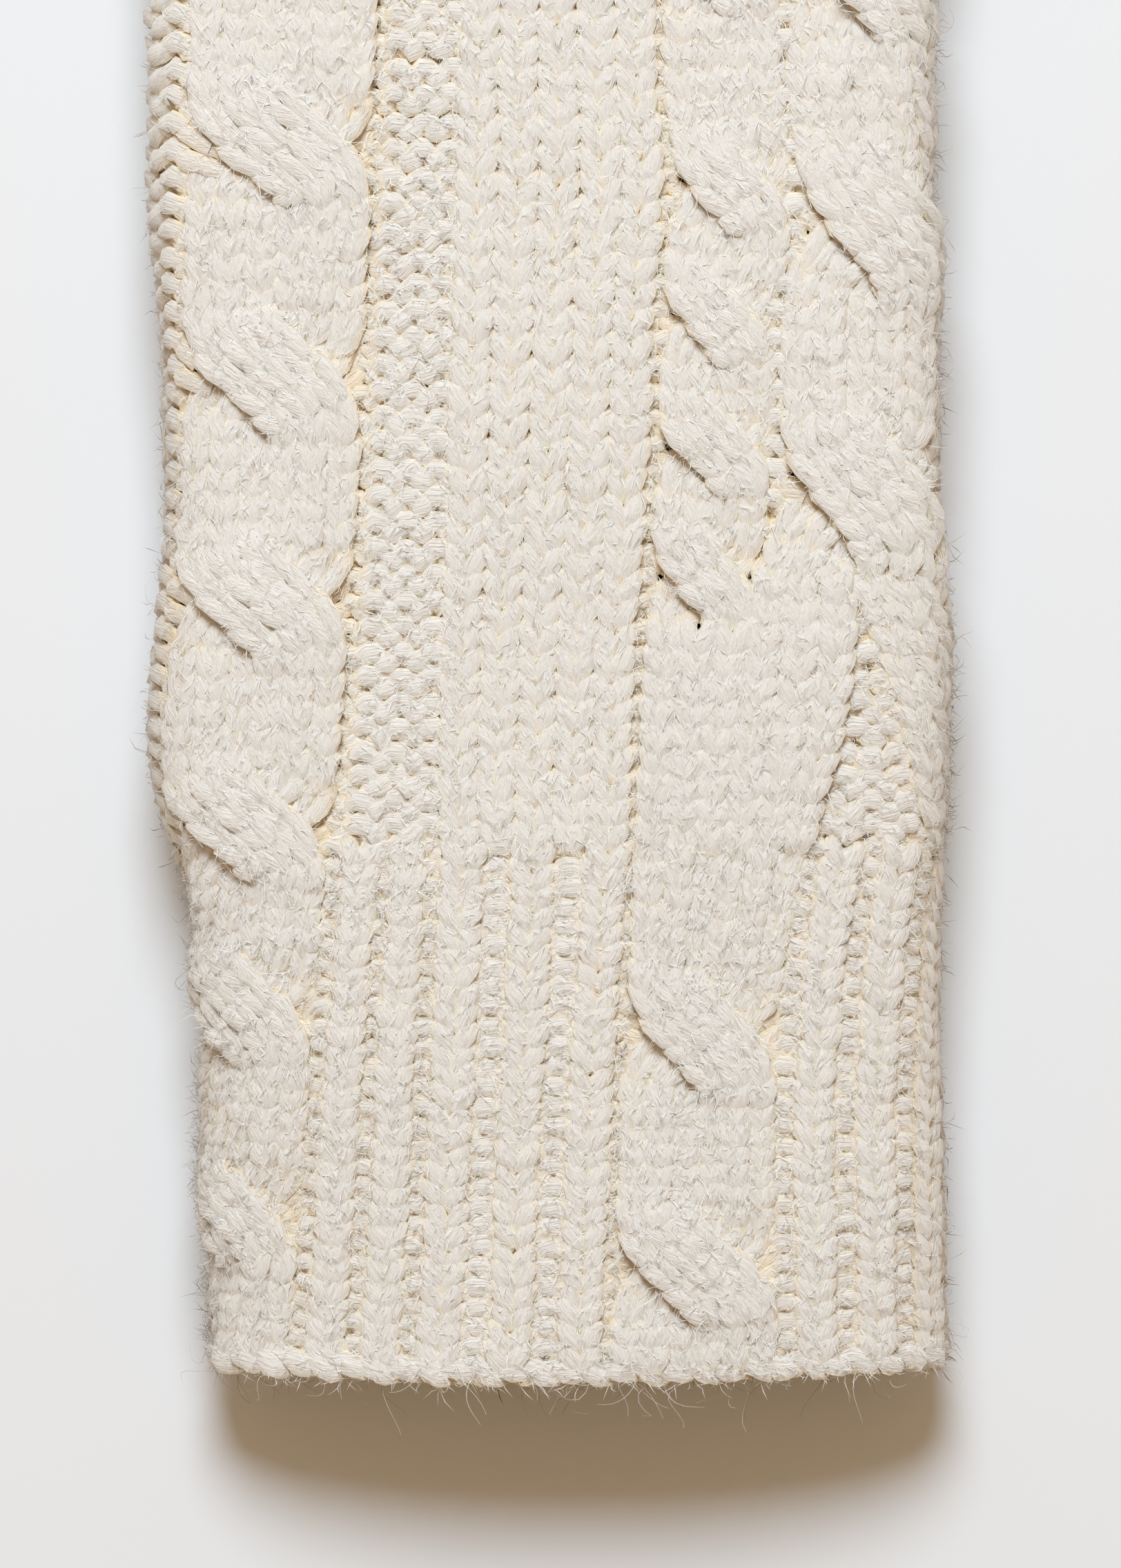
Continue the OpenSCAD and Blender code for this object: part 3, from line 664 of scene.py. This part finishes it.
def strays(yarn, count, longest):
    """Long curly fibres that have worked loose, each a closed tube of three sides."""
    pool = np.flatnonzero((yarn["outness"] > -0.5) & (yarn["outness"] < 0.7) & (yarn["depth"] > -0.6))
    root = rng.choice(pool, count)
    start, out, along = yarn["verts"][root], yarn["ring"][root], yarn["tangent"][root]
    aim = out + along * rng.uniform(-1.2, 1.2, (count, 1)) + rng.normal(0, 0.25, (count, 3))
    aim /= np.linalg.norm(aim, axis=1, keepdims=True)
    across = np.cross(aim, rng.normal(0, 1, (count, 3)))
    across /= np.maximum(np.linalg.norm(across, axis=1, keepdims=True), 1e-9)
    other = np.cross(aim, across)
    size = longest * rng.uniform(0.3, 1.0, (count, 1)) ** 1.3
    curl = rng.uniform(0.12, 0.4, (count, 1))
    turns = rng.uniform(0.35, 1.1, (count, 1))
    thick = FIBRE_R * rng.uniform(0.45, 0.75, (count, 1))
    rings = []
    for t in np.linspace(0, 1, STRAY_RINGS):
        angle = 2 * math.pi * turns * t
        centre = (start - out * 0.15 + aim * size * t + across * size * curl * (1 - np.cos(angle))
                  + other * size * curl * np.sin(angle))
        for corner in range(3):
            turn = corner * 2 * math.pi / 3
            aside = across * math.cos(turn) + other * math.sin(turn)
            rings.append(centre + aside * thick * (1 - 0.6 * t))
    verts = np.stack(rings, axis=1).reshape(-1, 3)
    verts[:, 2] = np.maximum(verts[:, 2], LOWEST_FIBRE)
    base = np.arange(count)[:, None] * STRAY_RINGS * 3
    quads = []
    for ring in range(STRAY_RINGS - 1):
        for corner in range(3):
            a, b = ring * 3 + corner, ring * 3 + (corner + 1) % 3
            quads.append(base + np.array([[a, b, b + 3, a + 3]]))
    last = STRAY_RINGS * 3 - 3
    caps = [base + np.array([[0, 2, 1]]), base + np.array([[last, last + 1, last + 2]])]
    shaded = np.repeat(yarn["fabric"][root], STRAY_RINGS * 3, axis=0)
    return verts, np.concatenate(quads), np.concatenate(caps), shaded


def new_mesh(name, verts, groups):
    """A smooth mesh object from vertices in millimetres and groups of faces of one size each."""
    loops = np.concatenate([g.reshape(-1) for g in groups])
    sizes = np.concatenate([np.full(len(g), g.shape[1]) for g in groups])
    starts = np.concatenate([[0], np.cumsum(sizes)[:-1]])
    mesh = bpy.data.meshes.new(name)
    mesh.vertices.add(len(verts))
    mesh.vertices.foreach_set("co", (verts * MM).astype(np.float32).ravel())
    mesh.loops.add(len(loops))
    mesh.loops.foreach_set("vertex_index", loops.astype(np.int32))
    mesh.polygons.add(len(starts))
    mesh.polygons.foreach_set("loop_start", starts.astype(np.int32))
    mesh.update(calc_edges=True)
    mesh.polygons.foreach_set("use_smooth", np.ones(len(starts), bool))
    piece = bpy.data.objects.new(name, mesh)
    bpy.context.scene.collection.objects.link(piece)
    return piece


def add_values(piece, label, kind, field, values):
    values = values.astype(np.float32).ravel()
    piece.data.attributes.new(label, kind, "POINT").data.foreach_set(field, values)


# ---------------------------------------------------------------- material
def wool():
    """Soft brushed cream wool, with fibres along the yarn and a painted warm shade deep in the fabric."""
    mat = bpy.data.materials.new("wool")
    mat.use_nodes = True
    nodes, links = mat.node_tree.nodes, mat.node_tree.links
    shader = nodes["Principled BSDF"]
    shader.inputs["Roughness"].default_value = 0.95
    shader.inputs["Specular IOR Level"].default_value = 0.12
    shader.inputs["Sheen Weight"].default_value = 0.25
    shader.inputs["Sheen Roughness"].default_value = 0.6
    shader.inputs["Sheen Tint"].default_value = (1.0, 0.96, 0.9, 1)
    fibre = nodes.new("ShaderNodeAttribute")
    fibre.attribute_name = "fibre"
    depth = nodes.new("ShaderNodeAttribute")
    depth.attribute_name = "depth"
    stretch = nodes.new("ShaderNodeVectorMath")
    stretch.operation = "MULTIPLY"
    stretch.inputs[1].default_value = (0.5, 3.4, 3.4)
    links.new(fibre.outputs["Vector"], stretch.inputs[0])
    strands = nodes.new("ShaderNodeTexNoise")
    strands.inputs["Scale"].default_value = 2.0
    strands.inputs["Detail"].default_value = 6
    strands.inputs["Roughness"].default_value = 0.66
    links.new(stretch.outputs[0], strands.inputs["Vector"])
    # Painted shade: deep loops get a warmer, tan colour, standing in for the light that has bounced off
    # more wool there
    deep = nodes.new("ShaderNodeMapRange")
    deep.inputs["From Min"].default_value = -0.5
    deep.inputs["From Max"].default_value = 1.65
    links.new(depth.outputs["Fac"], deep.inputs["Value"])
    # Painted shade: the tan first colour is for the deepest loops, the second is the wool's own cream on
    # top
    painted_shade_ramp = nodes.new("ShaderNodeValToRGB")
    painted_shade_ramp.color_ramp.elements[0].color = (1.0, 0.77, 0.42, 1)
    painted_shade_ramp.color_ramp.elements[1].color = (0.80, 0.768, 0.717, 1)
    links.new(deep.outputs[0], painted_shade_ramp.inputs["Fac"])
    streak = nodes.new("ShaderNodeValToRGB")
    streak.color_ramp.elements[0].position = 0.3
    streak.color_ramp.elements[0].color = (0.84, 0.81, 0.76, 1)
    streak.color_ramp.elements[1].position = 0.62
    streak.color_ramp.elements[1].color = (1, 1, 1, 1)
    links.new(strands.outputs["Fac"], streak.inputs["Fac"])
    vary = nodes.new("ShaderNodeMixRGB")
    vary.blend_type = "MULTIPLY"
    vary.inputs["Fac"].default_value = 0.6
    links.new(painted_shade_ramp.outputs["Color"], vary.inputs["Color1"])
    links.new(streak.outputs["Color"], vary.inputs["Color2"])
    links.new(vary.outputs["Color"], shader.inputs["Base Color"])
    tufts = nodes.new("ShaderNodeTexNoise")
    tufts.inputs["Scale"].default_value = 0.9
    tufts.inputs["Detail"].default_value = 4
    tufts.inputs["Roughness"].default_value = 0.6
    links.new(stretch.outputs[0], tufts.inputs["Vector"])
    normal = None
    for texture, strength, height in ((tufts, 0.4, 0.7), (strands, 0.5, 0.35)):
        bump = nodes.new("ShaderNodeBump")
        bump.inputs["Strength"].default_value = strength
        bump.inputs["Distance"].default_value = height * MM
        links.new(texture.outputs["Fac"], bump.inputs["Height"])
        if normal:
            links.new(normal, bump.inputs["Normal"])
        normal = bump.outputs["Normal"]
    links.new(normal, shader.inputs["Normal"])
    return mat


wool_mat = wool()
fluff_mat = bpy.data.materials.new("fluff")
fluff_mat.use_nodes = True
loose = fluff_mat.node_tree.nodes["Principled BSDF"]
loose.inputs["Base Color"].default_value = (0.90, 0.875, 0.83, 1)
loose.inputs["Roughness"].default_value = 0.7
loose.inputs["Specular IOR Level"].default_value = 0.25

# ---------------------------------------------------------------- pieces
BODIES = frame["record"]["behaviour"]["bodies"]
BODY_OF = {node: body for body, nodes in BODIES.items() for node in nodes}
WRIST_Y = WRIST_V - HALF_LENGTH
# The fabric bends over this stretch at the wrist, and over the other at the thumb's root
WRIST_BEND = ((0, (WRIST_Y + 15) * MM, 0), (0, (WRIST_Y - 15) * MM, 0))
THUMB_BEND = ((44 * MM, 0, 0), (58 * MM, 0, 0))
FIBRES_PER_LOOP = 60
FIBRES_PER_COARSE_LOOP = 12
STRAYS_PER_EDGE_LOOP = 5
STRAYS_PER_LOOP = 0.12
LONGEST_EDGE_STRAY, LONGEST_STRAY = 7.0, 4.5


def reaches(verts, axis, low, high):
    return verts[:, axis].max() > low and verts[:, axis].min() < high


def join_to_body(piece, verts, node):
    """Moves a piece with its body; a piece that reaches into a stretch where the fabric bends has its
    placement baked into its mesh and is left unattached.
    """
    if BODY_OF[node] == "thumb" and reaches(verts, 0, 0, THUMB_BEND[1][0] / MM):
        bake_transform(piece)
    elif BODY_OF[node] != "thumb" and reaches(verts, 1, WRIST_BEND[1][1] / MM, WRIST_BEND[0][1] / MM):
        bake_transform(piece)
    else:
        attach(piece, BODY_OF[node])


for node in sorted(runs):
    coarse = node in COARSE
    at_edge = "edge" in node
    sides = EDGE_SIDES if at_edge else PALM_SIDES if coarse else BACK_SIDES
    steps = PALM_STEPS if coarse else BACK_STEPS
    yarn = sweep(runs[node], sides)
    piece = new_mesh(node + "_yarn", yarn["verts"], (yarn["quads"], yarn["caps"]))
    piece.data.normals_split_custom_set_from_vertices(yarn["shaded"])
    add_values(piece, "fibre", "FLOAT_VECTOR", "vector", yarn["fibre"])
    add_values(piece, "depth", "FLOAT", "value", yarn["depth"])
    piece.data.materials.append(wool_mat)
    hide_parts(node)
    join_to_body(piece, yarn["verts"], node)
    loop_count = len(yarn["verts"]) / sides / steps
    per_loop = FIBRES_PER_COARSE_LOOP if coarse else FIBRES_PER_LOOP
    short, faces, shaded = fluff(yarn, int(loop_count * per_loop))
    per_loop = STRAYS_PER_EDGE_LOOP if at_edge else STRAYS_PER_LOOP
    longest = LONGEST_EDGE_STRAY if at_edge else LONGEST_STRAY
    curly, quads, caps, curly_shaded = strays(yarn, int(loop_count * per_loop), longest)
    verts = np.concatenate([short, curly])
    fuzz = new_mesh(node + "_fluff", verts, (faces, quads + len(short), caps + len(short)))
    fuzz.data.normals_split_custom_set_from_vertices(np.concatenate([shaded, curly_shaded]))
    fuzz.data.materials.append(fluff_mat)
    join_to_body(fuzz, verts, node)

# ---------------------------------------------------------------- stage, light and camera
floor_mesh = bpy.data.meshes.new("floor")
floor_mesh.from_pydata([(-2, -2, 0), (2, -2, 0), (2, 2, 0), (-2, 2, 0)], [], [(0, 1, 2, 3)])
floor = bpy.data.objects.new("floor", floor_mesh)
bpy.context.scene.collection.objects.link(floor)
pale = bpy.data.materials.new("pale_floor")
pale.use_nodes = True
paint = pale.node_tree.nodes["Principled BSDF"]
paint.inputs["Base Color"].default_value = (0.735, 0.75, 0.765, 1)
paint.inputs["Roughness"].default_value = 0.9
floor_mesh.materials.append(pale)

VIEW_HEIGHT = 188.4 * MM
VIEW_MIDDLE = (1.0 * MM, (72.1 - HALF_LENGTH) * MM)
CAMERA_UP = 1.25
BACK_Z = 0.018
cam_data = bpy.data.cameras.new("camera")
cam_data.sensor_width = 36.0
cam_data.lens = 36.0 * (CAMERA_UP - BACK_Z) / VIEW_HEIGHT
cam = bpy.data.objects.new("camera", cam_data)
cam.location = (VIEW_MIDDLE[0], VIEW_MIDDLE[1], CAMERA_UP)
bpy.context.scene.collection.objects.link(cam)
bpy.context.scene.camera = cam

# The key shines along the glove, so that its long sides cast only faint shadows
key_data = bpy.data.lights.new("key", "AREA")
key_data.shape = "ELLIPSE"
key_data.size = 1.2
key_data.size_y = 1.0
key_data.energy = 72
key_data.color = (0.78, 0.89, 1.0)
key = bpy.data.objects.new("key", key_data)
key.location = (-0.1, 1.6, 1.7)
key.rotation_euler = (Vector((0, -0.05, 0)) - key.location).to_track_quat("-Z", "Y").to_euler()
bpy.context.scene.collection.objects.link(key)
world = bpy.data.worlds.new("world")
bpy.context.scene.world = world
world.use_nodes = True
world.node_tree.nodes["Background"].inputs["Color"].default_value = (1.0, 0.71, 0.44, 1)
world.node_tree.nodes["Background"].inputs["Strength"].default_value = 0.45
bpy.context.scene.view_settings.view_transform = "Standard"
